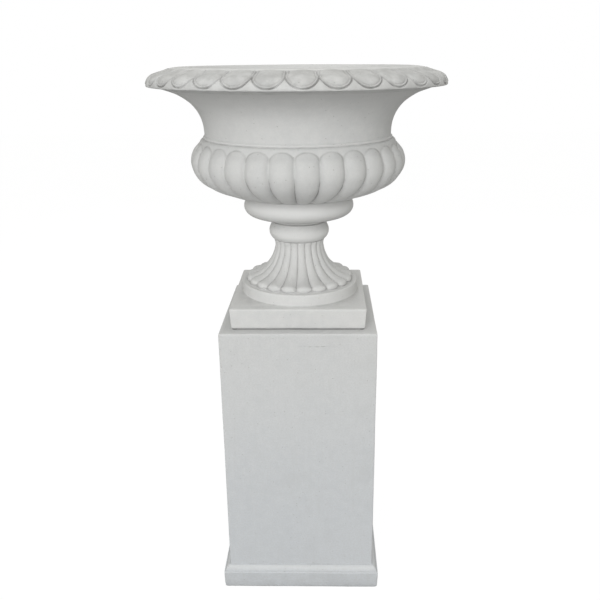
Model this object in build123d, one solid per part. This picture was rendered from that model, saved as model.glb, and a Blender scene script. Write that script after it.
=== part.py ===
"""Garden urn on a square pedestal, in cast stone.

The urn is two castings, a gadrooned bowl and a reeded foot, clamped together by one hollow
threaded drain tube. It stands loose on a hollow pedestal that is open underneath.
Millimetres, +Z up, the origin in the middle of the pedestal's underside. The front faces -Y.
"""

from build123d import *
import math
import os

# ---- Driving dimensions -------------------------------------------------------------------

# Pedestal: a plain square shaft on a moulded base.
SHAFT_WIDTH = 300.0
PEDESTAL_HEIGHT = 577.0
BASE_WIDTH = 325.0
BASE_FACE_TOP = 37.0          # top of the base's upright face
BASE_TAPER = 1.2              # how far that face leans in at the bottom
MOULDING_TOP = 52.0           # where the moulding dies into the shaft
PEDESTAL_WALL = 12.0
PEDESTAL_TOP_THICKNESS = 14.0
ARRIS = 2.0                   # worn edge of every square corner
CABLE_HOLE_RADIUS = 20.0      # hole through the pedestal's top, under the urn's drain
BOARD_WIDTH = 262.0           # load-spreading board glued under the pedestal's top
BOARD_THICKNESS = 15.0

# The urn stands on thin pads.
PAD_THICKNESS = 1.5
PAD_RADIUS = 5.0
PAD_OFFSET = 121.5            # each pad's place along X and Y

# Foot: heights are from the foot's own underside.
PLINTH_TOP_WIDTH = 260.4
PLINTH_BOTTOM_WIDTH = 255.6
PLINTH_HEIGHT = 40.5
PLINTH_WALL = 12.0
STEP_RADIUS = 116.4
STEP_TOP = 63.8
STEP_ARRIS = 1.5
REED_COUNT = 21
REED_PHASE = -2.0             # degrees from the front to the first groove
THROAT_RADIUS = 48.0
THROAT_HEIGHT = 139.5
FLARE_REACH = 72.0            # the stem's flare is a quarter ellipse of these two
FLARE_DROP = 66.0
TOE_RADIUS = 107.0
COLLAR_BOTTOM = 147.5         # where the small roll starts
COLLAR_RADIUS = 59.4
COLLAR_CENTRE = (45.4, 167.0)
FOOT_TOP = 183.0
FOOT_WALL = 12.0
FOOT_TOP_THICKNESS = 12.0

# Bowl: heights are from the foot's underside too.
GASKET_THICKNESS = 1.5
BOSS_RADIUS = 54.0
ROLL_CENTRE = (80.2, 214.5)   # the big roll under the belly
ROLL_REACH = 27.5
ROLL_RISE = 20.5
BELLY_BOTTOM = 234.5
GADROON_COUNT = 28
GADROON_TOP = 340.5
SHOULDER_TOP = (177.6, 350.0)
NECK_RADIUS = 176.8
NECK_HEIGHT = 356.0
NECK_REACH = 94.0             # the neck's flare is a quarter ellipse of these two
NECK_RISE = 82.0
LIP_BOTTOM = 439.5
LIP_CORNER = 273.5            # radius where the lip's underside starts to turn up
LIP_EDGE = (277.8, 447.5)     # widest ring of the rim
LIP_BROW = (264.0, 463.0)     # where the rim's round edge meets its sloping top
LIP_TOP = (250.0, 469.6)      # top of the ornament
CREST = (223.0, 476.0)        # highest ring of the rim
CREST_FLAT = 6.0              # width of the flat along the crest
EGG_COUNT = 32                # tongue-shaped ornaments round the rim
EGG_PHASE = 4.1               # degrees from the front to the first egg's middle
EGG_HEIGHT = 469.6            # level of the egg's open, inner end
EGG_RADIUS = 25.4             # seen from the side, each egg is half a disc
EGG_LINE = 1.6                # width and depth of the line cut round each egg
FLOOR_HEIGHT = 200.0
FLOOR_RADIUS = 60.0

# Drain fitting: a flanged tube clamps bowl and foot, and a rubber bung closes it.
TUBE_RADIUS = 11.0
TUBE_BORE = 5.0
TUBE_HOLE = 11.6
FLANGE_RADIUS = 24.0
FLANGE_THICKNESS = 4.0
SEAL_RADIUS = 26.0
SEAL_THICKNESS = 2.0
WASHER_RADIUS = 27.0
WASHER_THICKNESS = 3.0
NUT_ACROSS_FLATS = 34.0
NUT_THICKNESS = 12.0
THREAD_PITCH = 2.0
THREAD_DEPTH = 0.7
TUBE_TAIL = 9.0               # tube showing below the nut
PLUG_CLEARANCE = 0.3
PLUG_DEPTH = 14.0
PLUG_CAP_RADIUS = 13.0
PLUG_CAP_HEIGHT = 9.0

URN_BASE = PEDESTAL_HEIGHT + PAD_THICKNESS
FRONT = -90.0                 # direction of -Y, in degrees about Z

# Crest radius, height and groove depth of each ribbed band, from the bottom up.
GADROONS = [
    (112.0, BELLY_BOTTOM, 3.0),
    (122.5, 237.5, 3.6),
    (132.0, 241.0, 4.4),
    (146.0, 246.0, 5.4),
    (160.7, 252.0, 6.4),
    (173.4, 258.5, 7.2),
    (183.5, 265.5, 8.0),
    (192.8, 274.5, 8.6),
    (200.8, 286.0, 9.0),
    (205.0, 300.0, 9.0),
    (204.2, 313.0, 8.6),
    (198.6, 325.0, 6.4),
    (192.0, 334.0, 3.0),
    (186.6, GADROON_TOP, 0.5),
]
TOE_LEVELS = [
    (105.2, STEP_TOP, 5.2),
    (TOE_RADIUS, 67.5, 6.2),
    (105.4, 71.8, 6.0),
]
REED_HEIGHTS = [75.2, 77.2, 80.5, 85.0, 92.0, 101.0, 112.0, 125.0, THROAT_HEIGHT, COLLAR_BOTTOM]
REED_DEPTH_TOP = 2.4
REED_DEPTH_BOTTOM = 5.0


# ---- Shapes that repeat -------------------------------------------------------------------

def section(*edges):
    """Closed profile in the XZ plane from edges drawn as (radius, height)."""
    return Plane.XZ * make_face(Wire(edges))


def turned(*edges):
    """Solid of revolution about Z."""
    return revolve(section(*edges), Axis.Z, 360)


def path(*points):
    """Straight edges through (radius, height) points."""
    return [Line(a, b) for a, b in zip(points, points[1:])]


def ring(outer, inner, bottom, top):
    """Plain washer shape."""
    return Pos(0, 0, bottom) * extrude(Circle(outer) - Circle(inner), top - bottom)


def around(radius, degrees, height):
    """Point at an angle counted from the front towards +X."""
    turn = math.radians(FRONT + degrees)
    return Vector(radius * math.cos(turn), radius * math.sin(turn), height)


def ribbed_wire(crest, height, depth, count, phase):
    """Closed outline of bulging arcs that meet in grooves."""
    step = 360.0 / count
    groove = crest - depth
    arcs = []
    for i in range(count):
        start = phase + i * step
        arcs.append(
            Edge.make_three_point_arc(
                around(groove, start, height),
                around(crest, start + step / 2, height),
                around(groove, start + step, height),
            )
        )
    return Wire(arcs)


def ribbed_band(levels, count, phase):
    """Solid whose side is count ribs, smooth from level to level."""
    wires = [ribbed_wire(r, z, depth, count, phase) for r, z, depth in levels]
    return Solid.make_loft(wires, ruled=False)


def mitred(*edges):
    """Square solid with mitred corners: its half outline runs through (half width, height)."""
    half = make_face(Wire(edges))
    outline = half + mirror(half, Plane.YZ)
    length = 2 * BASE_WIDTH
    along_y = extrude(Plane.XZ * outline, length / 2, both=True)
    return along_y & (Rot(0, 0, 90) * along_y)


def quarter_ellipse_radius(height, centre_height, waist, reach, drop):
    """Radius of a flare that is upright at centre_height and level a drop away from it."""
    share = (centre_height - height) / drop
    return waist + reach * (1 - math.sqrt(1 - share * share))


# ---- Pedestal -----------------------------------------------------------------------------

def pedestal_shell():
    half, base = SHAFT_WIDTH / 2, BASE_WIDTH / 2
    foot_line = base - BASE_TAPER
    roll_bottom = (base - 1.8, BASE_FACE_TOP + 1.2)
    roll_top = (half + 2.0, MOULDING_TOP - 2.8)
    outline = [
        *path((0, 0), (foot_line - ARRIS, 0), (foot_line, ARRIS), (base, BASE_FACE_TOP)),
        *path((base, BASE_FACE_TOP), roll_bottom),
        ThreePointArc(roll_bottom, (base - 4.6, BASE_FACE_TOP + 8.6), roll_top),
        *path(
            roll_top,
            (half, MOULDING_TOP),
            (half, PEDESTAL_HEIGHT - ARRIS),
            (half - ARRIS, PEDESTAL_HEIGHT),
            (0, PEDESTAL_HEIGHT),
            (0, 0),
        ),
    ]
    inside = SHAFT_WIDTH - 2 * PEDESTAL_WALL
    ceiling = PEDESTAL_HEIGHT - PEDESTAL_TOP_THICKNESS
    hollow = Pos(0, 0, ceiling / 2) * Box(inside, inside, ceiling)
    hole = Pos(0, 0, PEDESTAL_HEIGHT) * Cylinder(CABLE_HOLE_RADIUS, 3 * PEDESTAL_TOP_THICKNESS)
    return mitred(*outline) - hollow - hole


def load_board():
    middle = PEDESTAL_HEIGHT - PEDESTAL_TOP_THICKNESS - BOARD_THICKNESS / 2
    board = Pos(0, 0, middle) * Box(BOARD_WIDTH, BOARD_WIDTH, BOARD_THICKNESS)
    hole = Pos(0, 0, middle) * Cylinder(CABLE_HOLE_RADIUS + 2, 2 * BOARD_THICKNESS)
    return board - hole


# ---- Urn, with heights from the foot's underside ------------------------------------------

def bearing_pads():
    corners = GridLocations(2 * PAD_OFFSET, 2 * PAD_OFFSET, 2, 2)
    pad = Pos(0, 0, -PAD_THICKNESS / 2) * Cylinder(PAD_RADIUS, PAD_THICKNESS)
    return Compound(children=[place * pad for place in corners])


def plinth():
    top, bottom = PLINTH_TOP_WIDTH / 2, PLINTH_BOTTOM_WIDTH / 2
    outline = path(
        (0, 0),
        (bottom - ARRIS, 0),
        (bottom, ARRIS),
        (top, PLINTH_HEIGHT - ARRIS),
        (top - ARRIS, PLINTH_HEIGHT),
        (0, PLINTH_HEIGHT),
        (0, 0),
    )
    return mitred(*outline)


def round_step():
    return turned(
        *path(
            (0, PLINTH_HEIGHT),
            (STEP_RADIUS, PLINTH_HEIGHT),
            (STEP_RADIUS, STEP_TOP - STEP_ARRIS),
            (STEP_RADIUS - STEP_ARRIS, STEP_TOP),
            (0, STEP_TOP),
            (0, PLINTH_HEIGHT),
        )
    )


def reeded_stem():
    levels = list(TOE_LEVELS)
    lowest, highest = REED_HEIGHTS[0], REED_HEIGHTS[-1]
    for height in REED_HEIGHTS:
        radius = quarter_ellipse_radius(
            height, THROAT_HEIGHT, THROAT_RADIUS, FLARE_REACH, FLARE_DROP
        )
        share = (height - lowest) / (highest - lowest)
        depth = REED_DEPTH_BOTTOM + share * (REED_DEPTH_TOP - REED_DEPTH_BOTTOM)
        levels.append((radius, height, depth))
    return ribbed_band(levels, REED_COUNT, REED_PHASE)


def collar():
    """Small roll on top of the stem, with the seat for the bowl."""
    centre, height = COLLAR_CENTRE
    lower, upper = COLLAR_BOTTOM, FOOT_TOP
    seat = BOSS_RADIUS - 1
    return turned(
        Line((0, lower), (seat - 3, lower)),
        ThreePointArc((seat - 3, lower), (COLLAR_RADIUS, height), (seat, upper)),
        *path((seat, upper), (0, upper), (0, lower)),
    )


def foot_hollow():
    """Space inside the foot: square under the plinth, round under the step and the flare."""
    inside = PLINTH_BOTTOM_WIDTH - 2 * PLINTH_WALL
    pocket_top = PLINTH_HEIGHT - PLINTH_WALL
    pocket = Pos(0, 0, pocket_top / 2) * Box(inside, inside, pocket_top)
    step_inside = STEP_RADIUS - FOOT_WALL
    centre_radius = THROAT_RADIUS + FLARE_REACH
    reach, drop = FLARE_REACH + FOOT_WALL, FLARE_DROP + FOOT_WALL
    sweep = math.degrees(math.acos((centre_radius - step_inside + FOOT_WALL) / reach))
    centre = (centre_radius, THROAT_HEIGHT)
    flare = EllipticalCenterArc(centre, reach, drop, start_angle=180, arc_size=sweep)
    throat, knee = flare @ 0, flare @ 1
    ceiling = FOOT_TOP - FOOT_TOP_THICKNESS
    bell = turned(
        flare,
        *path(
            (knee.X, knee.Y),
            (step_inside, STEP_TOP - FOOT_WALL),
            (step_inside, pocket_top - 1),
            (0, pocket_top - 1),
            (0, ceiling),
            (throat.X, ceiling),
            (throat.X, throat.Y),
        ),
    )
    return pocket + bell


def foot():
    tube_hole = Pos(0, 0, FOOT_TOP) * Cylinder(TUBE_HOLE, 3 * FOOT_TOP_THICKNESS)
    body = plinth() + round_step() + reeded_stem() + collar()
    return body - foot_hollow() - tube_hole


def bowl_underside():
    """Boss that sits on the foot, and the big roll above it."""
    bottom = FOOT_TOP + GASKET_THICKNESS
    centre, height = ROLL_CENTRE
    roll = EllipticalCenterArc(
        ROLL_CENTRE, ROLL_REACH, ROLL_RISE, start_angle=-90, arc_size=155
    )
    upper = roll @ 1
    return turned(
        *path((0, bottom), (BOSS_RADIUS, bottom), (BOSS_RADIUS, height - ROLL_RISE - 4)),
        Line((BOSS_RADIUS, height - ROLL_RISE - 4), (BOSS_RADIUS + 5, height - ROLL_RISE)),
        Line((BOSS_RADIUS + 5, height - ROLL_RISE), (centre, height - ROLL_RISE)),
        roll,
        *path(
            (upper.X, upper.Y),
            (upper.X, BELLY_BOTTOM),
            (0, BELLY_BOTTOM),
            (0, bottom),
        ),
    )


def neck():
    """Plain shoulder above the gadroons, and the flared neck up to the lip."""
    shoulder = GADROONS[-1][0] + 1.0
    centre = (NECK_RADIUS + NECK_REACH, NECK_HEIGHT)
    sweep = math.degrees(math.acos((centre[0] - LIP_CORNER + 10) / NECK_REACH))
    flare = EllipticalCenterArc(
        centre, NECK_REACH, NECK_RISE, start_angle=180, arc_size=-sweep
    )
    waist, top = flare @ 0, flare @ 1
    return turned(
        *path(
            (0, GADROON_TOP),
            (shoulder, GADROON_TOP),
            SHOULDER_TOP,
            (waist.X, waist.Y),
        ),
        flare,
        *path((top.X, top.Y), (top.X, LIP_BOTTOM), (0, LIP_BOTTOM), (0, GADROON_TOP)),
    )


def rim(inset=0.0):
    """Round edge and sloping top of the rim, full or shrunk by inset."""
    corner = (LIP_CORNER - inset / 2, LIP_BOTTOM)
    edge = (LIP_EDGE[0] - inset, LIP_EDGE[1])
    brow = (LIP_BROW[0] - 0.6 * inset, LIP_BROW[1] - 0.8 * inset)
    top = (LIP_TOP[0] - 0.6 * inset, LIP_TOP[1] - 0.8 * inset)
    return turned(
        Line((0, LIP_BOTTOM), corner),
        ThreePointArc(corner, (edge[0] - 0.9, LIP_BOTTOM + 3.3), edge),
        ThreePointArc(edge, (edge[0] - 3.6, edge[1] + 9.4), brow),
        *path(brow, top, (0, top[1]), (0, LIP_BOTTOM)),
    )


def egg_lines():
    """Cutters for the line round every egg: open at the crest, rounded at the rim's edge."""
    inside, outside = LIP_TOP[0], LIP_EDGE[0] + 5
    hoop = extrude(Circle(EGG_RADIUS) - Circle(EGG_RADIUS - EGG_LINE), outside - inside)
    placed = Pos(inside, 0, EGG_HEIGHT) * Rot(0, 90, 0) * hoop
    line = placed - rim(EGG_LINE)
    step = 360.0 / EGG_COUNT
    return [Rot(0, 0, FRONT + EGG_PHASE + i * step) * line for i in range(EGG_COUNT)]


def crest():
    """Plain band above the ornament, up to the level ring that is the urn's top."""
    radius, height = CREST
    outer = LIP_TOP[0] - 1.0
    base = LIP_TOP[1] - 0.5
    shoulder = (radius + CREST_FLAT / 2, height)
    return turned(
        *path((0, base), (outer, base), (outer, LIP_TOP[1] + 1)),
        ThreePointArc((outer, LIP_TOP[1] + 1), (radius + 15, height - 1.8), shoulder),
        *path(shoulder, (0, height), (0, base)),
    )


def bowl_hollow():
    """Inside of the bowl, from the drain's floor to the mouth."""
    radius, height = CREST
    lip = (radius - CREST_FLAT / 2, height)
    neck_inside = NECK_RADIUS - 9
    well = (FLOOR_RADIUS, FLOOR_HEIGHT)
    belly = Spline(
        (91, 243),
        (146, 259),
        (180, 286),
        (184.5, 308),
        (neck_inside + 2, 344),
        (neck_inside, NECK_HEIGHT + 6),
        (neck_inside + 3, 384),
        (neck_inside + 14, 410),
        (neck_inside + 34, 438),
        (radius - 10, height - 10),
        tangents=((1.0, 0.12), (0.35, 0.94)),
    )
    return turned(
        Line((0, FLOOR_HEIGHT), well),
        ThreePointArc(well, (73, 207), (79, 222)),
        ThreePointArc((79, 222), (82.5, 237), (91, 243)),
        belly,
        ThreePointArc((radius - 10, height - 10), (radius - 7.6, height - 3.2), lip),
        *path(lip, (radius, height + 5), (0, height + 5), (0, FLOOR_HEIGHT)),
    )


def bowl():
    gadroons = ribbed_band(GADROONS, GADROON_COUNT, 0)
    tube_hole = Pos(0, 0, FLOOR_HEIGHT) * Cylinder(TUBE_HOLE, 60)
    body = bowl_underside() + gadroons + neck() + rim() + crest()
    return body - bowl_hollow() - tube_hole - egg_lines()


# ---- Drain fitting ------------------------------------------------------------------------

def joint_gasket():
    return ring(BOSS_RADIUS - 3, TUBE_HOLE, FOOT_TOP, FOOT_TOP + GASKET_THICKNESS)


def flange_seal():
    return ring(SEAL_RADIUS, TUBE_HOLE, FLOOR_HEIGHT, FLOOR_HEIGHT + SEAL_THICKNESS)


def clamp_washer():
    top = FOOT_TOP - FOOT_TOP_THICKNESS
    return ring(WASHER_RADIUS, TUBE_HOLE, top - WASHER_THICKNESS, top)


def nut_top():
    return FOOT_TOP - FOOT_TOP_THICKNESS - WASHER_THICKNESS


def clamp_nut():
    corner = NUT_ACROSS_FLATS / math.sqrt(3)
    blank = Pos(0, 0, nut_top() - NUT_THICKNESS) * extrude(
        RegularPolygon(corner, 6) - Circle(TUBE_RADIUS), NUT_THICKNESS
    )
    bevel = turned(
        *path(
            (0, nut_top() - NUT_THICKNESS),
            (corner - 2, nut_top() - NUT_THICKNESS),
            (corner + 1, nut_top() - NUT_THICKNESS + 1.7),
            (corner + 1, nut_top()),
            (0, nut_top()),
            (0, nut_top() - NUT_THICKNESS),
        )
    )
    return blank & bevel


def drain_tube():
    """Flanged tube. Its thread shows as plain rings below the nut."""
    under_flange = FLOOR_HEIGHT + SEAL_THICKNESS
    top = under_flange + FLANGE_THICKNESS
    nut_bottom = nut_top() - NUT_THICKNESS
    bottom = nut_bottom - TUBE_TAIL
    outline = [
        (TUBE_BORE, top),
        (FLANGE_RADIUS - 2, top),
        (FLANGE_RADIUS, top - 2),
        (FLANGE_RADIUS, under_flange),
        (TUBE_RADIUS, under_flange),
        (TUBE_RADIUS, nut_bottom - 1),
    ]
    turns = int((TUBE_TAIL - 1) / THREAD_PITCH) - 1
    for i in range(turns):
        crown = nut_bottom - 1 - i * THREAD_PITCH
        outline.append((TUBE_RADIUS - THREAD_DEPTH, crown - THREAD_PITCH / 2))
        outline.append((TUBE_RADIUS, crown - THREAD_PITCH))
    outline += [(TUBE_RADIUS, bottom + 1), (TUBE_RADIUS - 1, bottom), (TUBE_BORE, bottom)]
    return turned(*path(*outline, outline[0]))


def drain_plug():
    """Rubber bung: a shank in the tube's bore, and a waisted cap to pull it by."""
    seat = FLOOR_HEIGHT + SEAL_THICKNESS + FLANGE_THICKNESS
    shank = TUBE_BORE - PLUG_CLEARANCE
    top = seat + PLUG_CAP_HEIGHT
    return turned(
        *path(
            (0, seat - PLUG_DEPTH),
            (shank - 1.0, seat - PLUG_DEPTH),
            (shank, seat - PLUG_DEPTH + 3),
            (shank, seat),
            (PLUG_CAP_RADIUS, seat),
            (PLUG_CAP_RADIUS, seat + 2),
            (PLUG_CAP_RADIUS - 4, seat + 4),
        ),
        ThreePointArc(
            (PLUG_CAP_RADIUS - 4, seat + 4),
            (PLUG_CAP_RADIUS - 3.2, top - 2.4),
            (PLUG_CAP_RADIUS - 5.5, top),
        ),
        *path((PLUG_CAP_RADIUS - 5.5, top), (0, top), (0, seat - PLUG_DEPTH)),
    )


# ---- Write one file for each piece --------------------------------------------------------

on_floor = {
    "pedestal_shell": pedestal_shell(),
    "load_board": load_board(),
}
on_pedestal = {
    "bearing_pads": bearing_pads(),
    "foot": foot(),
    "joint_gasket": joint_gasket(),
    "bowl": bowl(),
    "flange_seal": flange_seal(),
    "drain_tube": drain_tube(),
    "clamp_washer": clamp_washer(),
    "clamp_nut": clamp_nut(),
    "drain_plug": drain_plug(),
}

os.makedirs("parts", exist_ok=True)
for name, shape in on_floor.items():
    export_step(shape, f"parts/{name}.step")
for name, shape in on_pedestal.items():
    export_step(Pos(0, 0, URN_BASE) * shape, f"parts/{name}.step")
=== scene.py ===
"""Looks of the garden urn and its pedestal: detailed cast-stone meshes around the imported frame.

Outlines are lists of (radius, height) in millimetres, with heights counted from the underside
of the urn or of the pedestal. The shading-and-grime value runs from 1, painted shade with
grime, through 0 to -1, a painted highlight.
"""

import math

import bpy
import numpy as np
from mathutils import Matrix, Vector


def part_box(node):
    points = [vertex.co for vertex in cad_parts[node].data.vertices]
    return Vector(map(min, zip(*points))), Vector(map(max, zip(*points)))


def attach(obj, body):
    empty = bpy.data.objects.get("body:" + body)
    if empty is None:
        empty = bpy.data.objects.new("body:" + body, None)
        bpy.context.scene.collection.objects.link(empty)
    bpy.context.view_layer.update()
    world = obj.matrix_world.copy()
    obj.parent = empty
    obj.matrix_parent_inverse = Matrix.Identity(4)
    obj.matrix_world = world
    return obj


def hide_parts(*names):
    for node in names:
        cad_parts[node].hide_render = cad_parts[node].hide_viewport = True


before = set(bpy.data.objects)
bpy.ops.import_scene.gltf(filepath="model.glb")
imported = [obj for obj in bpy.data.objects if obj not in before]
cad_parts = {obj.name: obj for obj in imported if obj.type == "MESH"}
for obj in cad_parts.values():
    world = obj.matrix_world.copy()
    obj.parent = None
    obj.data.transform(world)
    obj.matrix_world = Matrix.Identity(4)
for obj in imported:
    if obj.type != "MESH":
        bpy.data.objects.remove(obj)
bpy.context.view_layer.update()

MM = 0.001
PEDESTAL_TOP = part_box("pedestal_shell")[1].z
URN_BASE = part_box("foot")[0].z
FRONT = -math.pi / 2             # direction of the side that faces the camera

# Points in one ring of the urn's meshes.
FINE = 1680                      # carved stretches
MEDIUM = 840                     # plain stretches
COARSE = 420                     # the insides

WAVINESS = 0.25                  # how far the urn's castings stray from true, in mm
WAVE_SCALES = (14.0, 31.0, 67.0)  # from long waves to short ones
WAVE_SEED = 7


# ---- Curves and meshes --------------------------------------------------------------------

CURVE_STEPS = 24


def smooth_path(points, spacing):
    """Evenly spaced points on a smooth curve through the given ones."""
    given = np.array(points, float)
    gaps = np.maximum(np.linalg.norm(np.diff(given, axis=0), axis=1), 1e-9) ** 0.5
    knots = np.concatenate([[0.0], np.cumsum(gaps)])
    slopes = np.gradient(given, knots, axis=0)
    u = np.linspace(0, 1, CURVE_STEPS, endpoint=False)[:, None]
    pieces = []
    for i, width in enumerate(np.diff(knots)):
        pieces.append(
            given[i] * (2 * u**3 - 3 * u**2 + 1)
            + given[i + 1] * (3 * u**2 - 2 * u**3)
            + slopes[i] * width * (u**3 - 2 * u**2 + u)
            + slopes[i + 1] * width * (u**3 - u**2)
        )
    curve = np.concatenate(pieces + [given[-1:]])
    lengths = np.linalg.norm(np.diff(curve, axis=0), axis=1)
    run = np.concatenate([[0.0], np.cumsum(lengths)])
    count = max(2, int(round(run[-1] / spacing)) + 1)
    even = np.linspace(0, run[-1], count)
    return np.stack([np.interp(even, run, curve[:, k]) for k in (0, 1)], axis=1)


def normals_2d(path):
    """Unit normals on the left of a path's direction."""
    along = np.gradient(path, axis=0)
    along /= np.maximum(np.linalg.norm(along, axis=1), 1e-9)[:, None]
    return np.stack([-along[:, 1], along[:, 0]], axis=1)


def inward_normals(path):
    """Unit normals of an outline on the side towards the axis, judged a third of the way on."""
    normals = normals_2d(path)
    if normals[len(path) // 3, 0] > 0:
        normals = -normals
    return normals


def ease(low, high, x):
    """0 below low, 1 above high, smooth between. With high below low it falls instead."""
    t = np.clip((x - low) / (high - low), 0, 1)
    return t * t * (3 - 2 * t)


def ridge(x, middle, width):
    """A smooth bump, 1 high at its middle and gone about two widths away."""
    return np.exp(-(((x - middle) / width) ** 2))


def turns(count):
    """Angles round the axis, counted from the front towards +X."""
    return np.arange(count) * (2 * math.pi / count)


def arch(across, cut):
    """Height of a rounded rib: 1 along its middle, and 0 at its edges, where across is 1.

    The rib is a slice of a circle. With cut near 1 it is nearly half of it, with steep edges.
    """
    edge = math.sqrt(1 - cut**2)
    return (np.sqrt(1 - (cut * across) ** 2) - edge) / (1 - edge)


class Skin:
    """Closed rings of points stacked into one closed skin.

    Neighbouring rings have equally many points, or one has twice as many as the other.
    """

    def __init__(self):
        self.points, self.soil, self.rings, self.total = [], [], [], 0

    def ring(self, points, soil):
        self.rings.append((self.total, len(points)))
        self.points.append(points)
        self.soil.append(np.broadcast_to(soil, len(points)))
        self.total += len(points)

    def turned(self, path, count, soil=0.0):
        """A round ring for each (radius, height) of the path, with one shading-and-grime value for
        all or each.
        """
        a = turns(count) + FRONT
        for (r, z), shading_and_grime_amount in zip(path, np.broadcast_to(soil, len(path))):
            ring = np.stack([r * np.cos(a), r * np.sin(a), np.full(count, z)], axis=1)
            self.ring(ring, shading_and_grime_amount)

    def shaped(self, radius, height, soil):
        """Rings from arrays of rows by angles."""
        a = turns(radius.shape[1]) + FRONT
        for r, z, s in zip(radius, height, soil):
            self.ring(np.stack([r * np.cos(a), r * np.sin(a), z], axis=1), s)

    def squared(self, rows, count):
        """Rounded square rings from (half width, corner radius, height) or those and a
        shading-and-grime value.
        """
        for half, corner, z, *shading_and_grime_amount in rows:
            flat = square_ring(half, corner, count)
            self.ring(np.column_stack([flat, np.full(count, z)]), shading_and_grime_amount[0] if shading_and_grime_amount else 0.0)

    def faces(self):
        """Faces between neighbouring rings, and between the last ring and the first."""
        quads, fives = [], []
        for (a0, na), (b0, nb) in zip(self.rings, self.rings[1:] + self.rings[:1]):
            if na == nb:
                i = np.arange(na)
                j = (i + 1) % na
                quads.append(np.stack([b0 + i, b0 + j, a0 + j, a0 + i], axis=1))
            elif nb == 2 * na:
                i = np.arange(na)
                j, k = (i + 1) % na, (2 * i + 2) % nb
                fives.append(
                    np.stack([b0 + 2 * i, b0 + 2 * i + 1, b0 + k, a0 + j, a0 + i], axis=1)
                )
            elif na == 2 * nb:
                i = np.arange(nb)
                j, k = (i + 1) % nb, (2 * i + 2) % na
                fives.append(
                    np.stack([b0 + i, b0 + j, a0 + k, a0 + 2 * i + 1, a0 + 2 * i], axis=1)
                )
            else:
                raise ValueError(f"rings of {na} and {nb} points can't be joined")
        return [np.concatenate(group) for group in (quads, fives) if group]

    def build(self, name, base, body, node, waviness=WAVINESS):
        """Makes the mesh, in metres and base high, in the place of one CAD node."""
        points = np.concatenate(self.points) * MM
        points = points + waviness * MM * unevenness(points)
        points[:, 2] = np.maximum(points[:, 2], 0) + base
        groups = self.faces()
        sizes = np.concatenate([np.full(len(g), g.shape[1]) for g in groups])
        starts = np.concatenate([[0], np.cumsum(sizes)[:-1]])
        loops = np.concatenate([g.ravel() for g in groups])
        mesh = bpy.data.meshes.new(name)
        mesh.vertices.add(len(points))
        mesh.vertices.foreach_set("co", points.astype(np.float32).ravel())
        mesh.loops.add(len(loops))
        mesh.loops.foreach_set("vertex_index", loops.astype(np.int32))
        mesh.polygons.add(len(sizes))
        mesh.polygons.foreach_set("loop_start", starts.astype(np.int32))
        mesh.polygons.foreach_set("loop_total", sizes.astype(np.int32))
        mesh.update(calc_edges=True)
        mesh.validate()
        # Per-point value: painted shade with grime above 0, painted highlight below 0.
        soil = mesh.attributes.new("soil", "FLOAT", "POINT")
        soil.data.foreach_set("value", np.concatenate(self.soil).astype(np.float32))
        mesh.polygons.foreach_set("use_smooth", np.ones(len(sizes), bool))
        obj = bpy.data.objects.new(name, mesh)
        bpy.context.scene.collection.objects.link(obj)
        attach(obj, body)
        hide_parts(node)
        return obj


def unevenness(points):
    """Slow hand-made waviness of a casting, about 1 high, the same for the same point."""
    rng = np.random.default_rng(WAVE_SEED)
    out = np.zeros_like(points)
    for scale in WAVE_SCALES:
        damping = 4 * (scale / WAVE_SCALES[0]) ** 0.7
        for axis in range(3):
            wave = rng.normal(size=(3, 3)) * scale
            shift = rng.uniform(0, 2 * math.pi, 3)
            out[:, axis] += np.sin(points @ wave + shift).sum(axis=1) / damping
    return out


def square_ring(half, corner, count):
    """Points of a rounded square, closer together near its corners."""
    step = np.arange(count) / (count / 8)
    octant = np.floor(step).astype(int)
    even = octant % 2 == 0
    toward = np.where(even, step - octant, 1 - (step - octant))
    angle = (1 - (1 - toward) ** 1.5) * math.pi / 4
    flat = half * np.tan(angle)
    centre = half - corner
    direction = np.stack([np.cos(angle), np.sin(angle)], axis=1)
    along = direction @ np.array([centre, centre])
    reach = along + np.sqrt(np.maximum(along**2 - 2 * centre**2 + corner**2, 0))
    length = np.where(flat <= centre, half / np.cos(angle), reach)
    whole = np.where(even, octant, octant + 1) * math.pi / 4
    turn = np.where(even, whole + angle, whole - angle) + FRONT
    return np.stack([length * np.cos(turn), length * np.sin(turn)], axis=1)


# ---- Bowl ---------------------------------------------------------------------------------

BOWL_INSIDE = [
    (11.7, 200), (30, 200.1), (55, 200.3), (64, 202), (72, 207.5), (77, 215), (79.6, 224),
    (82.5, 235), (90.5, 242.6), (104, 246.3), (122, 250.6), (143, 258), (162, 268.5),
    (176, 282), (183, 296), (184.2, 309), (180.5, 322), (174.5, 335), (169.6, 347),
    (168, 362), (171, 384), (181.8, 410), (201.8, 438), (210.6, 454), (213.6, 466),
]
CREST = [
    (213.6, 466), (215.2, 469.8), (217.2, 472.3), (219.6, 473.6), (222.2, 473.8),
    (226, 473.3), (230, 472.7), (233.0, 472.0), (234.5, 470.4),
]
RIM_TOP = [
    (234.5, 470.4), (241, 467.4), (248, 464.8), (254, 462.9), (260, 461.1), (265.2, 459.2),
    (269.4, 456.8), (272.6, 453.9), (274.9, 450.4), (276.1, 446.8), (276.5, 443.8),
    (276.0, 441.9), (274.5, 440.8),
]
LIP_UNDER = [(274.5, 440.8), (270, 440.2), (262, 439.2), (252, 437.3), (244, 434.6)]
NECK = [
    (244, 434.6), (236, 431.9), (228, 428.9), (222, 426), (212, 420), (203.6, 414), (197, 408),
    (187.7, 396), (181.8, 384), (178.4, 372), (177.1, 361), (176.9, 354), (176.9, 352.6),
]
SHOULDER = [
    (176.9, 352.6), (177.3, 351.4), (178.6, 350.4), (179.6, 349.2), (179.8, 347.8),
    (179.4, 346.9), (179.6, 346.1), (180.6, 345.6), (182.4, 345.0), (184.0, 343.9),
    (185.4, 342.2),
]
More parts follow.
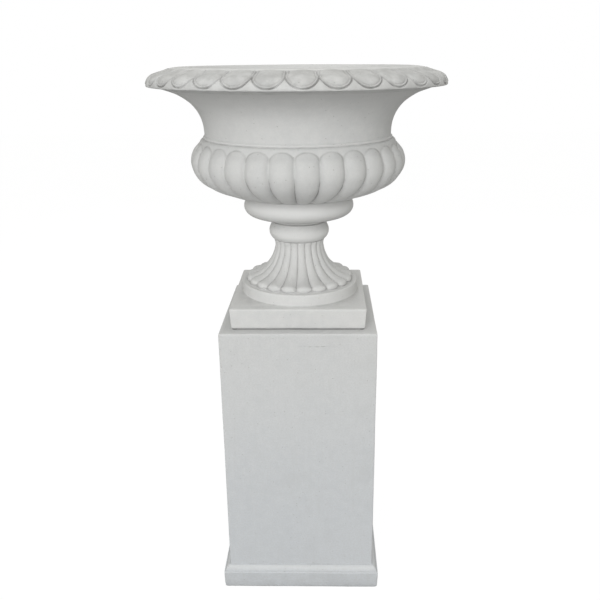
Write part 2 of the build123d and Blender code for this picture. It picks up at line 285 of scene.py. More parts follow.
BELLY_CREST = [
    (186.6, 342.2), (188.8, 340), (191.6, 336.5), (196.0, 330.2), (199.8, 324), (202.4, 318),
    (204.2, 312), (205.1, 306), (205.0, 300), (204.0, 294), (202.0, 288), (199.0, 282),
    (195.2, 276), (190, 269.9), (183, 263.8), (173, 257.4), (161, 251.5), (146, 245.6),
    (131, 240.6), (120, 238.0), (110, 236.6), (100.6, 236.0),
]
BIG_ROLL = [
    (99.4, 235.2), (99.3, 234.2), (100.6, 232), (103.8, 227.4), (106.6, 221.4), (107.7, 215),
    (106.4, 208.6), (102.6, 202.9), (97, 198.6), (90, 195.9), (82, 194.9), (72, 195.0),
    (62, 195.3), (57.4, 194.4), (55.2, 192.0), (54.3, 189.2), (54.0, 186.4), (53.6, 184.2),
    (52.8, 183.3), (51.6, 183.1),
]
BOWL_SEAT = [(51.3, 184.6)]
DRAIN_HOLE = [(30, 184.6), (11.7, 184.6), (11.7, 192)]

NECK_FOOT = 351.9                # crease where the neck ends
SHOULDER_EDGE = 349.0            # painted highlight along the edge of the small shoulder
SHOULDER_LINE = 346.3            # groove between the shoulder and the lobes
ROLL_TOP = 235.3                 # crease over the big roll
ROLL_UNDERSIDE = 194.8
BOWL_JOINT = 183.6               # where the bowl meets the foot

EGGS = 32                        # tongue-shaped ornaments round the rim
EGG_PHASE = math.radians(3.7)    # from the front to an egg's middle
EGG_MIDDLE = 26.6                # from the crest to the eggs' widest place, along the rim
EGG_RADIUS = 25.7
EGG_RISE = 50                    # above its widest place an egg is drawn out this long
EGG_FULLNESS = 2.2               # 2 is an ellipse, and more is squarer

# Each egg has a domed body with a button on it, a dip, a lip and a cut line on its outline, and
# a raised field outside. Heights and depths are from the rim's plain surface. Places and widths
# are shares of the egg's size.
DOME_HEIGHT = 3.0
DOME_EDGE = 0.83
BUTTON_HEIGHT = 0.4
BUTTON_WIDTH = 0.34
DIP_DEPTH = 0.4
DIP_PLACE = 0.835
DIP_WIDTH = 0.030
LIP_HEIGHT = 1.7
LIP_PLACE = 0.905
LIP_WIDTH = 0.045
LINE_DEPTH = 1.7
LINE_WIDTH = 0.036
FIELD_HEIGHT = 0.8
FIELD_START = (1.02, 1.10)
EGG_SHADE_FILM = 0.40                  # thin painted shade all over an egg
# thin painted shade over the field outside the eggs
FIELD_SHADE_FILM = 0.24
ORNAMENT_INNER = (0.4, 2.2)      # it rises over this way from the crest
ORNAMENT_LOWER = (440.6, 442.4)  # and over these heights from the rim's underside

LOBES = 28                       # gadroons round the belly
LOBE_CUT = 0.90                  # section of the ribs under the belly
LOBE_GAP = 0.03                  # share of the pitch left between the lobes' round ends
LOBE_END = 324.5                 # above this each lobe closes in a round end
LOBE_END_RISE = 14.5
LOBE_DEPTH = 9.2                 # where the belly is widest
LOBE_DEPTHS = ([100, 112, 122, 135, 150, 170, 190, 205], [1.6, 4.0, 5.2, 6.4, 7.6, 8.6, 9.2, 9.2])
LOBE_SQUARENESS = 2.1            # of the round section: 2 and 0.5 would be a half circle
LOBE_FLATNESS = 0.62
LOBE_ROUNDING = (262, 318)       # over these heights the arched ribs turn into rounder lobes
BELLY_WIDEST = 300
BELLY_TOP = 318                  # above this the ground between the lobes follows its own outline
BELLY_TOP_GROUND = ([318, 324, 330, 336, 339, 342.3], [193.4, 190.4, 188.2, 187.2, 186.6, 185.4])


def egg_relief(turn, radius, height, along):
    """Height of the egg ornament over the rim's plain surface, and its painted shade.

    along is the way from the crest, down the rim's surface. In each egg, rho is 0 in the
    middle and 1 on its outline.
    """
    pitch = 2 * math.pi / EGGS
    local = (turn - EGG_PHASE + pitch / 2) % pitch - pitch / 2
    across = np.abs(radius * np.sin(local))
    down = along - EGG_MIDDLE
    reach = np.where(down < 0, EGG_RISE, EGG_RADIUS)
    rho = (across / EGG_RADIUS) ** EGG_FULLNESS + np.abs(down / reach) ** EGG_FULLNESS
    rho = rho ** (1 / EGG_FULLNESS)
    gap = radius * math.sin(pitch / 2) - across
    rho = np.where(rho < 1, np.maximum(rho, 1 - gap / EGG_RADIUS), rho)

    dome = np.sqrt(np.maximum(1 - (rho / DOME_EDGE) ** 2, 0))
    button = ridge(rho, 0, BUTTON_WIDTH)
    dip = ridge(rho, DIP_PLACE, DIP_WIDTH)
    lip = ridge(rho, LIP_PLACE, LIP_WIDTH)
    line = ridge(rho, 1, LINE_WIDTH)
    field = ease(*FIELD_START, rho)
    relief = DOME_HEIGHT * dome + BUTTON_HEIGHT * button + LIP_HEIGHT * lip
    relief += FIELD_HEIGHT * field - LINE_DEPTH * line - DIP_DEPTH * dip
    present = ease(*ORNAMENT_INNER, along) * ease(*ORNAMENT_LOWER, height)

    # Painted shade in the cut outline, stronger towards an egg's lower end, and in the dip; thin
    # painted shade over the whole band.
    low = ease(-14, 4, down)
    line_shade = 0.55 + 0.45 * low
    dip_shade = 0.30 - 0.15 * low
    shade_film = np.where(rho < 0.97, EGG_SHADE_FILM, FIELD_SHADE_FILM)
    soil = (line_shade * line + dip_shade * dip) * present + shade_film
    return relief * present, np.clip(soil, -1, 1)


def rim():
    """Ornamented top of the rim as rows by angles: radius, height and painted shade."""
    plain = smooth_path(RIM_TOP, spacing=0.75)
    steps = np.hypot(*np.diff(plain, axis=0, prepend=plain[:1]).T)
    along = np.cumsum(steps)[:, None]
    radius, height = plain[:, :1], plain[:, 1:2]
    relief, soil = egg_relief(turns(FINE)[None, :], radius, height, along)
    out = normals_2d(plain)
    return radius + out[:, :1] * relief, height + out[:, 1:2] * relief, soil


def belly():
    """Gadrooned belly as rows by angles: radius, height and painted shade and highlight."""
    crest = smooth_path(BELLY_CREST, spacing=1.35)
    z = crest[:, 1]
    depth = np.where(z > BELLY_WIDEST, LOBE_DEPTH, np.interp(crest[:, 0], *LOBE_DEPTHS))
    ground = crest + inward_normals(crest) * depth[:, None]
    above = z > BELLY_TOP
    ground[above, 0] = np.interp(z[above], *BELLY_TOP_GROUND)
    ground[above, 1] = z[above]

    pitch = 2 * math.pi / LOBES
    across = np.abs(2 * ((turns(FINE) / pitch) % 1.0) - 1.0)[None, :]
    past = np.maximum((z - LOBE_END) / LOBE_END_RISE, 0)[:, None]
    reach = np.hypot(across / (1 - LOBE_GAP), past)
    round_lobe = (1 - np.clip(reach, 0, 1) ** LOBE_SQUARENESS) ** LOBE_FLATNESS
    rounded = ease(*LOBE_ROUNDING, z)[:, None]
    bulge = arch(across, LOBE_CUT) * (1 - rounded) + round_lobe * rounded
    bulge = soften(bulge, rounded[:, 0])
    share = (1 - bulge)[:, :, None]
    place = crest[:, None, :] + (ground - crest)[:, None, :] * share

    # painted shade in the grooves between the lobes
    low_groove = 1.6 * groove_shading(bulge, 0.14) ** 1.2
    middle_groove = 0.6 * groove_shading(bulge, 0.20) ** 1.3
    groove = low_groove + (middle_groove - low_groove) * ease(275, 305, z)[:, None]
    # painted shade round the lobes' upper ends
    outline = 0.50 * ridge(reach, 1, 0.08)
    high = ease(318, 330, z)[:, None]
    # painted highlight on the lower lobes, in place of light thrown up from below
    painted_highlight = 0.40 * bulge * ease(270, 250, z)[:, None]
    soil = groove * (1 - high) + outline * high - painted_highlight
    return place[:, :, 0], place[:, :, 1], np.clip(soil, -1, 1)


def groove_shading(bulge, share):
    """Painted groove shade: rises from 0 to 1 over the lowest share of a rib's height, down to its
    groove.
    """
    return np.clip((share - bulge) / share, 0, 1)


def soften(rows, amount):
    """Blurs each row along its ring, more where amount is larger."""
    wide = rows.copy()
    for shift in (1, 2, 3):
        wide += np.roll(rows, shift, axis=1) + np.roll(rows, -shift, axis=1)
    wide /= 7
    return rows + (wide - rows) * amount[:, None]


def bowl():
    skin = Skin()
    # painted shade inside the bowl
    skin.turned(smooth_path(BOWL_INSIDE, spacing=5.0)[:-1], COARSE, soil=0.15)
    # painted highlight along the crest
    skin.turned(smooth_path(CREST, spacing=1.1)[:-1], MEDIUM, soil=-0.15)
    skin.shaped(*rim())
    # painted shade under the lip
    skin.turned(smooth_path(LIP_UNDER, spacing=2.0)[1:-1], MEDIUM, soil=0.25)
    skin.turned(smooth_path(NECK, spacing=3.0)[:-1], MEDIUM)

    shoulder = smooth_path(SHOULDER, spacing=0.8)[:-1]
    z = shoulder[:, 1]
    # Painted shade in the shoulder's groove and the neck's crease, painted highlight along the
    # shoulder's edge.
    crease_shade = ridge(z, SHOULDER_LINE, 0.7) + 0.2 * ridge(z, NECK_FOOT, 0.6)
    skin.turned(shoulder, MEDIUM, 0.55 * crease_shade - 0.3 * ridge(z, SHOULDER_EDGE, 1.2))

    skin.shaped(*belly())

    roll = smooth_path(BIG_ROLL, spacing=1.6)
    r, z = roll.T
    # Painted shade in the creases over and under the big roll and at the joint with the foot
    crease_shade = ridge(z, ROLL_TOP, 0.9) + 0.25 * ridge(z, ROLL_UNDERSIDE, 0.9)
    crease_shade += 0.45 * ridge(z, BOWL_JOINT, 0.8)
    # painted highlight over the roll's upper face
    painted_highlight = 0.9 * ease(200, 222, z) * (r > 100)
    skin.turned(roll, MEDIUM, np.minimum(crease_shade, 1) - painted_highlight)
    skin.turned(BOWL_SEAT, MEDIUM)
    skin.turned(DRAIN_HOLE, COARSE)
    return skin.build("bowl_casting", URN_BASE, "urn", "bowl")


# ---- Foot ---------------------------------------------------------------------------------

FOOT_SEAT = [(11.7, 183), (30, 183)]
COLLAR = [
    (51.5, 183), (53.2, 182.6), (54.2, 181.4), (54.6, 179.6), (56.0, 176.2), (57.9, 172.2),
    (59.1, 168.0), (59.4, 164.4), (59.0, 160.4), (57.8, 156.6), (55.8, 153.0), (53.4, 150.2),
    (51.4, 148.7), (49.8, 148.1),
]
REED_CREST = [
    (48.6, 147.9), (49.9, 147.0), (50.1, 145.4), (49.2, 142.6), (48.3, 138.6), (48.4, 134),
    (49.4, 128), (51.4, 120.5), (54.0, 114), (56.8, 108), (60.4, 102), (65.2, 96),
    (70.8, 90.6), (77.2, 85.6), (84.2, 81.7), (91.5, 78.8), (98.0, 77.0), (102.6, 75.6),
    (105.6, 73.2), (106.9, 70.2), (107.0, 67.2), (106.1, 64.8), (104.6, 63.6),
]
STEP = [
    (112, 63.8), (114.6, 63.7), (115.8, 63.0), (116.3, 61.8), (116.4, 59), (116.3, 50),
    (116.2, 45), (116.3, 42.4), (116.9, 41.0),
]
# Rows of half width, corner radius, height and, where given, a fourth value: painted highlight over
# the top edge, painted shadow along the gap under the plinth.
PLINTH = [
    (122.0, 5.0, 40.5, -0.2), (128.7, 3.2, 40.3, -0.3), (129.8, 2.6, 39.5, -0.3),
    (130.15, 2.4, 38.3), (130.0, 2.4, 36), (129.5, 2.4, 28), (128.9, 2.4, 18), (128.4, 2.6, 9),
    (128.1, 3.0, 4), (127.6, 3.4, 1.4, 0.2), (126.5, 4.0, 0.3, 1.0), (125.0, 4.5, 0.0, 1.0),
    (117.5, 4.0, 0.0, 1.0), (115.8, 4.0, 1.0), (115.8, 4.0, 14), (115.8, 4.0, 27.5),
    (113.5, 4.0, 28.4),
]
FOOT_INSIDE = [
    (104.4, 28.5), (104.4, 40), (104.2, 52), (98, 59), (92, 66), (78, 72.6), (65.7, 80),
    (55, 89), (47.6, 100), (41, 113), (37.4, 127), (36.2, 139), (36.4, 152), (36, 168),
]
FOOT_CEILING = [(35, 170.6), (24, 171), (11.7, 171)]

COLLAR_MIDDLE = 162              # painted highlight band round the small roll
COLLAR_FOOT = 148.2              # crease between the small roll and the reeds
STEP_FOOT = 41.2                 # crease between the round step and the plinth

REEDS = 21
REED_PHASE = math.radians(-2.0)  # from the front to a groove between two reeds
REED_CUT = 0.93                  # section of a reed
REED_DEPTHS = ([63.6, 70, 76, 90, 110, 140, 145, 148], [6.4, 6.6, 6.0, 5.0, 3.8, 3.0, 2.8, 1.2])


def reeds():
    """Reeded stem as rows by angles: radius, height and painted shade and highlight."""
    crest = smooth_path(REED_CREST, spacing=1.0)
    z = crest[:, 1]
    depth = np.interp(z, *REED_DEPTHS)
    pitch = 2 * math.pi / REEDS
    across = np.abs(2 * (((turns(FINE) - REED_PHASE) / pitch) % 1.0) - 1.0)[None, :]
    bulge = arch(across, REED_CUT)
    sunk = (inward_normals(crest) * depth[:, None])[:, None, :] * (1 - bulge)[:, :, None]
    place = crest[:, None, :] + sunk

    # painted shade in the grooves between the reeds
    groove = groove_shading(bulge, 0.28) ** 1.4
    # painted highlight on the toes
    painted_highlight = 0.4 * (bulge > 0.5) * ease(80, 74, z)[:, None]
    # painted shade at the toes' foot and under the small roll
    toe_foot = 0.45 * ease(65.6, 63.8, z)[:, None]
    reed_tops = 0.7 * ease(146.0, 147.6, z)[:, None]
    soil = np.maximum(groove - painted_highlight, np.maximum(toe_foot, reed_tops))
    return place[:, :, 0], place[:, :, 1], soil


def foot():
    skin = Skin()
    skin.turned(FOOT_SEAT, MEDIUM)
    collar = smooth_path(COLLAR, spacing=1.0)
    z = collar[:, 1]
    # painted shade in the crease under the small roll, painted highlight round its middle
    soil = 0.5 * ridge(z, COLLAR_FOOT, 0.8) - 0.4 * ridge(z, COLLAR_MIDDLE, 9)
    skin.turned(collar, MEDIUM, soil)
    skin.shaped(*reeds())
    step = smooth_path(STEP, spacing=1.0)
    # painted shade at the step's foot, slight painted highlight over the step
    skin.turned(step, MEDIUM, 0.75 * ridge(step[:, 1], STEP_FOOT, 1.0) - 0.2)
    skin.squared(PLINTH, MEDIUM)
    skin.turned(smooth_path(FOOT_INSIDE, spacing=4.0), COARSE)
    skin.turned(FOOT_CEILING, COARSE)
    return skin.build("foot_casting", URN_BASE, "urn", "foot")


# ---- Pedestal -----------------------------------------------------------------------------

PEDESTAL_POINTS = 440            # in each ring
PEDESTAL_WAVINESS = 0.35
SHAFT_TOP = 577.0
SHAFT_FOOT = 60
SHAFT_HALF = 150.0
SHAFT_CORNER = 2.0
SHAFT_ROWS = 56
ROOF = SHAFT_TOP - 14            # underside of the pedestal's top
HOLE_RADIUS = 20
INSIDE_HALF = 138
INSIDE_CORNER = 4
INSIDE_ROWS = 12

HOLE_WALL = [
    (HOLE_RADIUS, ROOF), (HOLE_RADIUS, SHAFT_TOP - 7), (HOLE_RADIUS, SHAFT_TOP - 1.4),
    (HOLE_RADIUS + 0.3, SHAFT_TOP - 0.4),
]
HOLE_EDGE = [(21.0, SHAFT_TOP), (22.2, SHAFT_TOP), (26, SHAFT_TOP)]
TOP_MIDDLE = [(60, SHAFT_TOP), (110, SHAFT_TOP)]
# Fourth values: painted highlight along the top's edge
TOP_EDGE = [
    (140, 3.0, SHAFT_TOP, -0.1), (147.6, 2.4, SHAFT_TOP - 0.05, -0.3),
    (148.9, 2.2, SHAFT_TOP - 0.5, -0.3), (149.7, 2.0, SHAFT_TOP - 1.4, -0.15),
    (SHAFT_HALF, SHAFT_CORNER, SHAFT_TOP - 2.8),
]
# Fourth values: painted shadow lines where the shaft meets the moulding and under its roll, painted
# highlight over the roll and the ledge's edge, a slight darkening over the face, painted shade
# along the foot
BASE_MOULDING = [
    (150.0, 2.0, 55.0), (150.0, 2.0, 52.8), (150.0, 2.0, 51.4, 0.15), (150.5, 2.0, 50.4, 0.3),
    (151.6, 2.0, 50.2, 0.1), (153.2, 2.0, 49.6, -0.3), (155.2, 2.2, 48.2, -0.3),
    (157.0, 2.3, 46.2, -0.3), (158.4, 2.4, 43.8, -0.2), (159.2, 2.5, 41.4, -0.1),
    (159.5, 2.5, 39.8, 0.1), (160.0, 2.6, 38.8, 0.25), (160.9, 2.8, 38.4),
    (161.9, 2.9, 38.1, -0.1), (162.4, 3.0, 37.4), (162.5, 3.0, 36.2, 0.08),
    (162.5, 3.0, 28, 0.08), (162.2, 3.0, 16, 0.08), (161.6, 3.2, 5, 0.12),
    (161.0, 3.6, 1.8, 0.3), (159.9, 4.2, 0.4, 0.6), (158, 5, 0.0), (140, 4, 0.0),
    (138.2, 4, 1.2), (138, 4, 6),
]
ROOF_EDGE = [(136, 4, ROOF)]
ROOF_MIDDLE = [(110, ROOF), (60, ROOF)]


def pedestal():
    shaft = np.linspace(SHAFT_TOP - 8, SHAFT_FOOT, SHAFT_ROWS)
    inside = np.linspace(40, ROOF - 1, INSIDE_ROWS)
    skin = Skin()
    # painted shade in the cable hole and round its edge, painted highlight over the top
    skin.turned(HOLE_WALL, PEDESTAL_POINTS, soil=0.3)
    skin.turned(HOLE_EDGE, PEDESTAL_POINTS, soil=0.1)
    skin.turned(TOP_MIDDLE, PEDESTAL_POINTS, soil=-0.1)
    skin.squared(TOP_EDGE, PEDESTAL_POINTS)
    skin.squared([(SHAFT_HALF, SHAFT_CORNER, z) for z in shaft], PEDESTAL_POINTS)
    skin.squared(BASE_MOULDING, PEDESTAL_POINTS)
    skin.squared([(INSIDE_HALF, INSIDE_CORNER, z) for z in inside], PEDESTAL_POINTS)
    skin.squared(ROOF_EDGE, PEDESTAL_POINTS)
    skin.turned(ROOF_MIDDLE, PEDESTAL_POINTS)
    return skin.build(
        "pedestal_casting", 0.0, "pedestal", "pedestal_shell",
        waviness=PEDESTAL_WAVINESS,
    )


# ---- Materials ----------------------------------------------------------------------------

class Nodes:
    """Short hand for building one node tree. Values may be numbers or other nodes' outputs."""

    def __init__(self, name):
        self.material = bpy.data.materials.new(name)
        self.material.use_nodes = True
        self.tree = self.material.node_tree
        self.shader = self.tree.nodes["Principled BSDF"]
        coords = self.add("ShaderNodeTexCoord")
        self.place = coords.outputs["Object"]

    def fill(self, socket, value):
        if isinstance(value, bpy.types.NodeSocket):
            self.tree.links.new(value, socket)
        else:
            socket.default_value = value

    def add(self, kind, inputs=None, **settings):
        node = self.tree.nodes.new(kind)
        for key, value in settings.items():
            setattr(node, key, value)
        for key, value in (inputs or {}).items():
            self.fill(node.inputs[key], value)
        return node

    def stretched(self, x, y, z):
        """Coordinates scaled along each axis, for grain and streaks."""
        scaled = self.add("ShaderNodeMapping", {"Vector": self.place, "Scale": (x, y, z)})
        return scaled.outputs["Vector"]

    def noise(self, scale, detail=4.0, rough=0.55, where=None):
        return self.add(
            "ShaderNodeTexNoise",
            {"Vector": where or self.place, "Scale": scale, "Detail": detail, "Roughness": rough},
        ).outputs["Fac"]

    def ramp(self, value, low, high, low_out=0.0, high_out=1.0):
        """Eases from low_out to high_out while the value goes from low to high."""
        return self.add(
            "ShaderNodeMapRange",
            {
                "Value": value,
                "From Min": low,
                "From Max": high,
                "To Min": low_out,
                "To Max": high_out,
            },
            interpolation_type="SMOOTHSTEP",
        ).outputs["Result"]

    def math(self, operation, a, b):
        return self.add("ShaderNodeMath", {0: a, 1: b}, operation=operation).outputs[0]

    def mix(self, factor, a, b, blend="MIX"):
        """Blends colour a towards colour b."""
        return self.add(
            "ShaderNodeMix", {0: factor, 6: a, 7: b}, data_type="RGBA", blend_type=blend
        ).outputs[2]

    def bump(self, height, distance, strength, under=None):
        inputs = {"Height": height, "Distance": distance, "Strength": strength}
        if under is not None:
            inputs["Normal"] = under
        return self.add("ShaderNodeBump", inputs).outputs["Normal"]

    def finish(self, colour, roughness, normal=None):
        self.fill(self.shader.inputs["Base Color"], colour)
        self.fill(self.shader.inputs["Roughness"], roughness)
        if normal is not None:
            self.fill(self.shader.inputs["Normal"], normal)
        return self.material


def grey(value, warm=0.0):
    return (value * (1 + warm), value, value * (1 - 1.3 * warm), 1.0)


# tint of a painted cool reflection
COOL_REFLECTION = (0.950, 0.987, 1.045, 1.0)
BRASS, BRASS_TARNISH = (0.62, 0.46, 0.20, 1), (0.28, 0.20, 0.10, 1)
STEEL, STEEL_TARNISH = (0.60, 0.60, 0.58, 1), (0.38, 0.38, 0.37, 1)
WOOD, WOOD_GRAIN, WOOD_RINGS = (0.50, 0.34, 0.19, 1), (0.32, 0.20, 0.10, 1), (0.60, 0.44, 0.27, 1)

# The scratch on the pedestal's front, in metres.
SCRATCH_HEIGHT = 0.552
SCRATCH_MIDDLE = 0.030
SCRATCH_DEPTH = -0.146           # it shows only on faces further forward than this


def pinholes(n):
    """Small holes left by air bubbles: the middles of a few cells."""
    cells = n.add("ShaderNodeTexVoronoi", {"Vector": n.place, "Scale": 150.0, "Randomness": 1.0})
    pick = n.add("ShaderNodeSeparateColor", {"Color": cells.outputs["Color"]}).outputs["Red"]
    keep = n.ramp(pick, 0.80, 0.84)
    hole = n.ramp(cells.outputs["Distance"], 0.16, 0.07)
    return n.math("MULTIPLY", hole, keep)


def scratched(n):
    """One faint level scratch on the front, a little under the pedestal's top."""
    where = n.add("ShaderNodeSeparateXYZ", {"Vector": n.place}).outputs
    wander = n.ramp(n.noise(30.0), 0.3, 0.7, -0.0012, 0.0012)
    height = n.math("ADD", n.math("SUBTRACT", where["Z"], SCRATCH_HEIGHT), wander)
    off = n.math("ABSOLUTE", height, 0.0)
    along = n.math("ABSOLUTE", n.math("SUBTRACT", where["X"], SCRATCH_MIDDLE), 0.0)
    front = n.ramp(where["Y"], SCRATCH_DEPTH, SCRATCH_DEPTH - 0.003)
    narrow = n.math("MULTIPLY", n.ramp(off, 0.0014, 0.0004), n.ramp(along, 0.034, 0.020))
    broken = n.ramp(n.noise(120.0), 0.40, 0.60, 0.15, 0.75)
    return n.math("MULTIPLY", n.math("MULTIPLY", narrow, front), broken)


def stone(
    name, level, shading_and_grime_amount, streaks=0.0, speckle=0.16, clouds=0.20, cool_reflection_below=None, scratch=False
):
    """Off-white painted cast stone: patches, mottling, pinholes painted dark, painted shade with
    grime, and painted highlights.

    level is the paint's brightness. Below the given cool height, in metres, a painted cool
    reflection turns the paint a little bluer towards the ground.
    """
    n = Nodes(name)
    patches = n.ramp(n.noise(4.5, detail=3.0), 0.36, 0.66)
    base = n.mix(patches, grey(level * 0.98, -0.004), grey(level * 1.02, 0.004))
    mottle = n.ramp(n.noise(60.0, detail=7.0, rough=0.66), 0.34, 0.68)
    base = n.mix(mottle, base, grey(level * 1.05, 0.003))
    cloud = n.ramp(n.noise(16.0, detail=5.0), 0.52, 0.78, 0.0, clouds)
    base = n.mix(cloud, base, grey(level * 0.88, 0.006))
    # painted cool reflection, bluer towards the ground
    if cool_reflection_below:
        height = n.add("ShaderNodeSeparateXYZ", {"Vector": n.place}).outputs["Z"]
        low = n.ramp(height, 0.0, cool_reflection_below, 1.0, 0.0)
        base = n.mix(low, base, n.mix(1.0, base, COOL_REFLECTION, "MULTIPLY"))
    if streaks:
        run = n.noise(1.0, detail=5.0, rough=0.6, where=n.stretched(150.0, 150.0, 9.0))
        base = n.mix(n.ramp(run, 0.52, 0.80, 0.0, streaks), base, grey(level * 0.80, 0.002))
    fine = n.ramp(n.noise(300.0, detail=3.0, rough=0.7), 0.38, 0.66, 0.0, speckle)
    base = n.mix(fine, base, grey(level * 0.84, 0.002))
    grain = n.noise(1100.0, detail=2.0, rough=0.7)
    base = n.mix(n.ramp(grain, 0.30, 0.75, 0.0, 0.16), base, grey(level * 0.72, 0.004))
    holes = pinholes(n)
    # pinholes painted dark, as painted shade inside them
    base = n.mix(n.math("MULTIPLY", holes, 0.55), base, grey(level * 0.42, 0.02))
    if scratch:
        base = n.mix(scratched(n), base, grey(level * 0.62))

    soil = n.add("ShaderNodeAttribute", attribute_name="soil").outputs["Fac"]
    # Below 0 the value is a painted highlight: the paint lightened.
    painted_highlight = n.math("MAXIMUM", n.math("MULTIPLY", soil, -1.0), 0.0)
    base = n.mix(painted_highlight, base, grey(level * 1.22, 0.002))
    # Above 0 it is painted shade with grime, in patches.
    patchy = n.ramp(n.noise(48.0, detail=6.0, rough=0.6), 0.32, 0.68, 0.30, 1.20)
    gathered_shade_and_grime = n.math("MULTIPLY", n.math("MAXIMUM", soil, 0.0), patchy)
    base = n.mix(n.math("MULTIPLY", gathered_shade_and_grime, shading_and_grime_amount), base, grey(level * 0.40, 0.015))

    lumps = n.noise(95.0, detail=5.0, rough=0.6)
    normal = n.bump(lumps, distance=0.0009, strength=0.35)
    normal = n.bump(grain, distance=0.00018, strength=0.55, under=normal)
    raised = n.math("SUBTRACT", 1.0, holes)
    normal = n.bump(raised, distance=0.0007, strength=0.8, under=normal)
    n.shader.inputs["Specular IOR Level"].default_value = 0.35
    return n.finish(base, n.ramp(mottle, 0.0, 1.0, 0.72, 0.90), normal)


def rubber(name, level):
    """Black rubber with dust in patches."""
    n = Nodes(name)
    dust = n.ramp(n.noise(160.0, detail=5.0), 0.45, 0.75, 0.0, 0.5)
    base = n.mix(dust, grey(level), grey(level * 3.2, 0.02))
    normal = n.bump(n.noise(700.0, detail=3.0), distance=0.0002, strength=0.5)
    return n.finish(base, n.ramp(dust, 0.0, 0.5, 0.55, 0.85), normal)


def plywood(name):
    """Board of thin plies: stretched grain on the faces and bands along the edges."""
    n = Nodes(name)
    grain = n.noise(1.0, detail=7.0, rough=0.65, where=n.stretched(9.0, 170.0, 500.0))
    rings = n.noise(1.0, detail=3.0, rough=0.5, where=n.stretched(3.0, 32.0, 60.0))
    base = n.mix(n.ramp(grain, 0.3, 0.72), WOOD, WOOD_GRAIN)
    base = n.mix(n.ramp(rings, 0.42, 0.62, 0.0, 0.5), base, WOOD_RINGS)
    normal = n.bump(grain, distance=0.0004, strength=0.6)
    return n.finish(base, n.ramp(grain, 0.3, 0.7, 0.6, 0.8), normal)


def metal(name, colour, dark, rough):
    """Machined metal gone dull: fine turning marks, tarnish in patches."""
    n = Nodes(name)
    marks = n.noise(1.0, detail=3.0, rough=0.6, where=n.stretched(60.0, 60.0, 2600.0))
    tarnish = n.ramp(n.noise(90.0, detail=6.0, rough=0.65), 0.42, 0.70)
    base = n.mix(tarnish, colour, dark)
    n.shader.inputs["Metallic"].default_value = 1.0
    normal = n.bump(marks, distance=0.00012, strength=0.5)
    return n.finish(base, n.ramp(tarnish, 0.0, 1.0, rough, rough + 0.3), normal)


def wear(obj, material):
    """Gives an object this one material."""
    slots = obj.data.materials
    if not len(slots):
        slots.append(material)
    for i in range(len(slots)):
        slots[i] = material


RUBBER_PARTS = (
    ("bearing_pads", 0.10),
    ("joint_gasket", 0.045),
    ("flange_seal", 0.04),
    ("drain_plug", 0.05),
)
METAL_PARTS = (
    ("drain_tube", BRASS, BRASS_TARNISH, 0.32),
    ("clamp_nut", BRASS, BRASS_TARNISH, 0.36),
    ("clamp_washer", STEEL, STEEL_TARNISH, 0.38),
)


def dress():
    """Builds the three castings and gives every piece its material."""
    wear(bowl(), stone("bowl_stone_look", level=0.535, shading_and_grime_amount=0.85))
    wear(foot(), stone("foot_stone_look", level=0.575, shading_and_grime_amount=0.75))
    pedestal_look = stone(
        "pedestal_stone_look", level=0.543, shading_and_grime_amount=1.0, streaks=0.18, speckle=0.40, clouds=0.42,
        cool_reflection_below=0.8, scratch=True,
    )
    wear(pedestal(), pedestal_look)
    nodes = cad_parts
    wear(nodes["load_board"], plywood("load_board_look"))
    for name, level in RUBBER_PARTS:
        wear(nodes[name], rubber(name + "_look", level))
    for name, colour, dark, rough in METAL_PARTS:
        wear(nodes[name], metal(name + "_look", colour, dark, rough))


# ---- Stage, light and camera --------------------------------------------------------------

FLOOR_HALF = 9.0
FLOOR_GLOW = 1.06                # how bright the floor's own white is
FLOOR_GLOW_SHARE = 0.92          # how much of it the camera sees
SKY_LIGHT = 0.55
SKY_TINT = (1.0, 1.0, 0.94, 1)

# Name, place, aim, width and height, watts and tint.
SOFTBOXES = (
    ("front_box", (-0.45, -3.3, 1.8), (0, 0, 0.7), (2.2, 1.6), 74, (0.99, 1.0, 1.0)),
    ("left_box", (-2.8, -1.4, 1.6), (0, 0, 0.7), (1.6, 2.2), 8, (1, 1, 1)),
    ("right_box", (2.8, -1.2, 1.6), (0, 0, 0.7), (1.6, 2.2), 6, (1, 1, 1)),
    ("back_box", (0.5, 3.2, 1.8), (0, 0, 0.7), (2.2, 1.6), 30, (1, 1, 1)),
    ("top_box", (0, -0.4, 3.4), (0, 0, 0.8), (2.4, 2.4), 18, (1, 1, 1)),
)

CAMERA_PLACE = (0.0495, -1.3645, PEDESTAL_TOP + 0.4945)
CAMERA_YAW = math.radians(0.978)
CAMERA_PITCH = math.radians(19.349)
CAMERA_ROLL = math.radians(-0.395)
CAMERA_SENSOR = 36.0
CAMERA_LENS = 41.90
CAMERA_SHIFT = -0.0213


def floor():
    """Pale floor, brighter to the camera than to the light it throws back."""
    mesh = bpy.data.meshes.new("studio_floor")
    corners = [(x * FLOOR_HALF, y * FLOOR_HALF, 0) for x, y in ((-1, -1), (1, -1), (1, 1), (-1, 1))]
    mesh.from_pydata(corners, [], [(0, 1, 2, 3)])
    obj = bpy.data.objects.new("studio_floor", mesh)
    bpy.context.scene.collection.objects.link(obj)
    n = Nodes("studio_floor_look")
    base = n.mix(n.ramp(n.noise(2.0, detail=2.0), 0.3, 0.7), grey(0.43), grey(0.47))
    wear(obj, n.finish(base, 0.9))
    glow = n.add("ShaderNodeEmission", {"Strength": FLOOR_GLOW})
    seen = n.add("ShaderNodeLightPath").outputs["Is Camera Ray"]
    share = n.math("MULTIPLY", seen, FLOOR_GLOW_SHARE)
    both = n.add("ShaderNodeMixShader", {0: share, 1: n.shader.outputs[0], 2: glow.outputs[0]})
    out = n.tree.nodes["Material Output"]
    n.tree.links.new(both.outputs[0], out.inputs["Surface"])


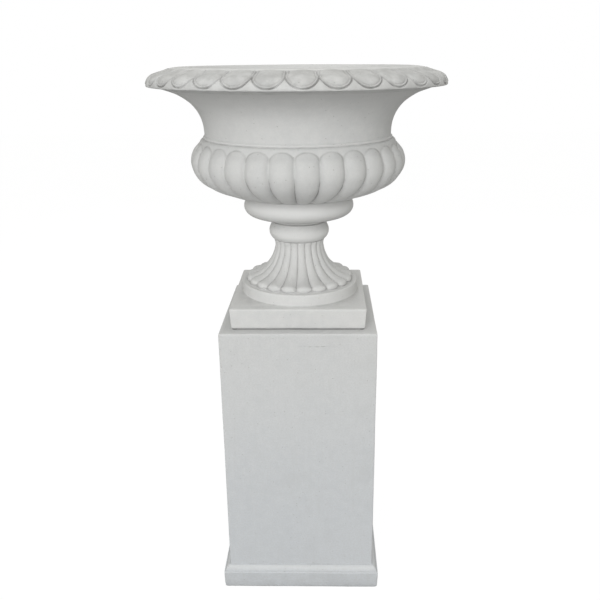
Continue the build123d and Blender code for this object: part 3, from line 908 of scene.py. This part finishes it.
def sky():
    """Even white surroundings: full white to the camera, dimmer and warmer as light."""
    world = bpy.data.worlds.new("studio")
    bpy.context.scene.world = world
    world.use_nodes = True
    tree = world.node_tree
    level = tree.nodes.new("ShaderNodeMapRange")
    level.inputs["To Min"].default_value = SKY_LIGHT
    level.inputs["To Max"].default_value = 1.0
    tint = tree.nodes.new("ShaderNodeMix")
    tint.data_type = "RGBA"
    tint.inputs[6].default_value = SKY_TINT
    tint.inputs[7].default_value = (1, 1, 1, 1)
    path = tree.nodes.new("ShaderNodeLightPath")
    back = tree.nodes["Background"]
    tree.links.new(path.outputs["Is Camera Ray"], tint.inputs[0])
    tree.links.new(tint.outputs[2], back.inputs["Color"])
    tree.links.new(path.outputs["Is Camera Ray"], level.inputs["Value"])
    tree.links.new(level.outputs["Result"], back.inputs["Strength"])


def softbox(name, place, aim, size, watts, tint):
    light = bpy.data.lights.new(name, "AREA")
    light.shape = "RECTANGLE"
    light.size, light.size_y = size
    light.energy = watts
    light.color = tint
    obj = bpy.data.objects.new(name, light)
    obj.location = place
    obj.rotation_euler = (Vector(aim) - Vector(place)).to_track_quat("-Z", "Y").to_euler()
    bpy.context.scene.collection.objects.link(obj)


def camera():
    yaw, pitch, roll = CAMERA_YAW, CAMERA_PITCH, CAMERA_ROLL
    forward = Vector(
        (-math.sin(yaw) * math.cos(pitch), math.cos(yaw) * math.cos(pitch), -math.sin(pitch))
    )
    right = Vector((math.cos(yaw), math.sin(yaw), 0))
    up = right.cross(forward)
    tilted_right = right * math.cos(roll) + up * math.sin(roll)
    tilted_up = up * math.cos(roll) - right * math.sin(roll)
    lens = bpy.data.cameras.new("camera")
    lens.sensor_width = CAMERA_SENSOR
    lens.lens = CAMERA_LENS
    lens.shift_x = CAMERA_SHIFT
    obj = bpy.data.objects.new("camera", lens)
    turn = Matrix((tilted_right, tilted_up, -forward)).transposed().to_4x4()
    obj.matrix_world = Matrix.Translation(CAMERA_PLACE) @ turn
    bpy.context.scene.collection.objects.link(obj)
    bpy.context.scene.camera = obj


dress()
floor()
for box in SOFTBOXES:
    softbox(*box)
sky()
bpy.context.scene.view_settings.view_transform = "Standard"
camera()
